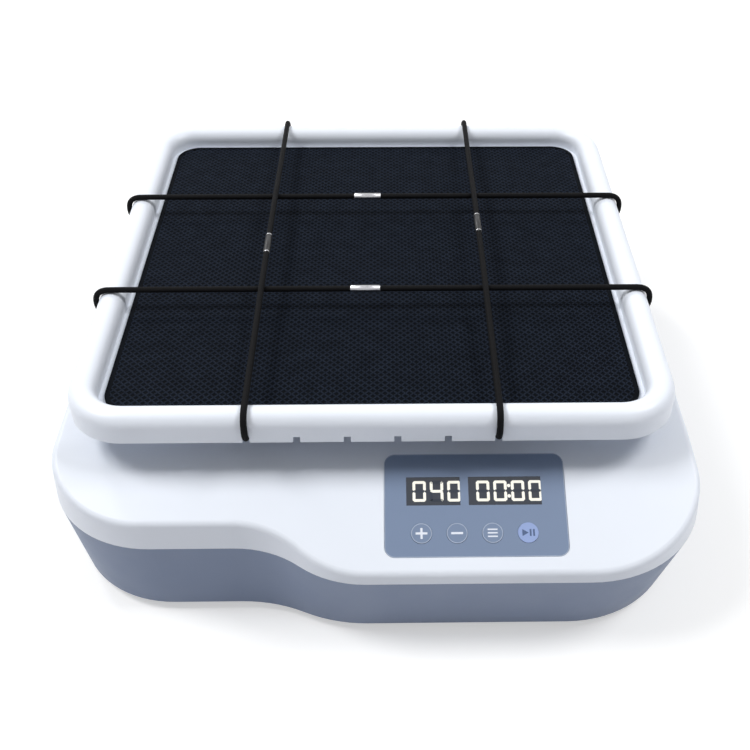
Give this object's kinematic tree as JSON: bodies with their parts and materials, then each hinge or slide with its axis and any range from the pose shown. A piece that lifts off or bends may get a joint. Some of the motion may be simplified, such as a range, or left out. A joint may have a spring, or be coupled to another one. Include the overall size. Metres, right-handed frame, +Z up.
{
  "type": "orbital shaker",
  "caption": "Bench-top orbital shaker: a square tray with a mesh mat and elastic hold-down cords swings in a circle over a low housing with a sloped digital control nose.",
  "frame": {"origin": "on the table, under the middle of the footprint", "axes": "+Z up, user at -Y facing the control nose, +X to the user's right"},
  "size_m": [0.292, 0.305, 0.1065],
  "materials": {
    "blue_plastic": "fine moulded texture",
    "white_plastic": "satin",
    "panel_film": "fine matt film",
    "smoked_lens": "clear gloss",
    "display_module": "matt",
    "button_blue": "fine matt film",
    "button_light": "fine matt film",
    "mat_rubber": "fine diamond ribs",
    "cord_elastic": "braided sleeve",
    "crimp_metal": "bright",
    "foot_rubber": "matt",
    "steel": "zinc plated",
    "bright_steel": "ground",
    "aluminium": "machined",
    "motor_black": "satin black",
    "belt_rubber": "matt",
    "board_green": "solder mask",
    "black_plastic": "moulded"
  },
  "bodies": {
    "base": {"bottom_housing": "blue_plastic", "top_cover": "white_plastic", "rubber_feet": "foot_rubber", "foot_screws": "steel", "housing_screws": "steel", "chassis_plate": "steel", "chassis_screws": "steel", "main_bearing_housing": "aluminium", "idler_bearing_housings": "aluminium", "main_bearings": "bright_steel", "idler_bearings": "bright_steel", "bearing_housing_screws": "steel", "motor_body": "motor_black", "motor_screws": "steel", "drive_belt": "belt_rubber", "control_panel": "panel_film", "display_windows": "smoked_lens", "speed_display": "display_module", "time_display": "display_module", "control_board": "board_green", "board_screws": "steel", "key_switches": "black_plastic", "power_switch_housing": "black_plastic", "power_inlet": "black_plastic", "inlet_nut": "steel"},
    "drive_crank": {"drive_crank": "bright_steel", "crank_pulley": "aluminium", "counterweight": "steel", "crank_screws": "steel"},
    "motor_rotor": {"motor_shaft": "bright_steel", "motor_pulley": "aluminium", "pulley_set_screw": "steel"},
    "platform": {"carrier_plate": "aluminium", "carrier_bearing_cups": "aluminium", "carrier_bearings": "bright_steel", "carrier_screws": "steel", "platform_posts": "aluminium", "post_screws": "steel", "platform_tray": "white_plastic", "tray_screws": "steel", "anti_slip_mat": "mat_rubber", "left_cord": "cord_elastic", "right_cord": "cord_elastic", "front_cord": "cord_elastic", "rear_cord": "cord_elastic", "cord_crimps": "crimp_metal"},
    "front_left_idler": {"front_left_idler_crank": "bright_steel"},
    "front_right_idler": {"front_right_idler_crank": "bright_steel"},
    "rear_left_idler": {"rear_left_idler_crank": "bright_steel"},
    "rear_right_idler": {"rear_right_idler_crank": "bright_steel"},
    "plus_key": {"plus_button": "button_blue"},
    "minus_key": {"minus_button": "button_blue"},
    "mode_key": {"mode_button": "button_blue"},
    "start_key": {"start_button": "button_light"},
    "rocker": {"power_rocker": "black_plastic"}
  },
  "joints": [
    {"name": "drive_crank_spin", "type": "hinge", "parent": "base", "child": "drive_crank", "pos_m": [0, 0.0075, 0.045], "axis": [0, 0, 1], "continuous": true},
    {"name": "platform_orbit", "type": "hinge", "parent": "drive_crank", "child": "platform", "pos_m": [0, 0.0175, 0.058], "axis": [0, 0, 1], "continuous": true},
    {"name": "motor_spin", "type": "hinge", "parent": "base", "child": "motor_rotor", "pos_m": [0, 0.0895, 0.04], "axis": [0, 0, 1], "continuous": true},
    {"name": "front_left_idler_spin", "type": "hinge", "parent": "base", "child": "front_left_idler", "pos_m": [-0.085, -0.0685, 0.045], "axis": [0, 0, 1], "continuous": true},
    {"name": "front_right_idler_spin", "type": "hinge", "parent": "base", "child": "front_right_idler", "pos_m": [0.085, -0.0685, 0.045], "axis": [0, 0, 1], "continuous": true},
    {"name": "rear_left_idler_spin", "type": "hinge", "parent": "base", "child": "rear_left_idler", "pos_m": [-0.085, 0.0835, 0.045], "axis": [0, 0, 1], "continuous": true},
    {"name": "rear_right_idler_spin", "type": "hinge", "parent": "base", "child": "rear_right_idler", "pos_m": [0.085, 0.0835, 0.045], "axis": [0, 0, 1], "continuous": true},
    {"name": "plus_press", "type": "slide", "parent": "base", "child": "plus_key", "axis": [0, 0.4172, -0.9088], "range_m": [0, 0.0005], "stiffness_N_per_m": 600, "springref_m": -0.0005},
    {"name": "minus_press", "type": "slide", "parent": "base", "child": "minus_key", "axis": [0, 0.4172, -0.9088], "range_m": [0, 0.0005], "stiffness_N_per_m": 600, "springref_m": -0.0005},
    {"name": "mode_press", "type": "slide", "parent": "base", "child": "mode_key", "axis": [0, 0.4172, -0.9088], "range_m": [0, 0.0005], "stiffness_N_per_m": 600, "springref_m": -0.0005},
    {"name": "start_press", "type": "slide", "parent": "base", "child": "start_key", "axis": [0, 0.4172, -0.9088], "range_m": [0, 0.0005], "stiffness_N_per_m": 600, "springref_m": -0.0005},
    {"name": "power_rock", "type": "hinge", "parent": "base", "child": "rocker", "pos_m": [-0.062, 0.14859, 0.02415], "axis": [0, 0.1521, 0.9884], "range_deg": [-16, 0]}
  ],
  "couplings": [
    {"joint": "platform_orbit", "follows": "drive_crank_spin", "ratio": -1},
    {"joint": "motor_spin", "follows": "drive_crank_spin", "ratio": 4.7949},
    {"joint": "front_left_idler_spin", "follows": "drive_crank_spin", "ratio": 1},
    {"joint": "front_right_idler_spin", "follows": "drive_crank_spin", "ratio": 1},
    {"joint": "rear_left_idler_spin", "follows": "drive_crank_spin", "ratio": 1},
    {"joint": "rear_right_idler_spin", "follows": "drive_crank_spin", "ratio": 1}
  ]
}
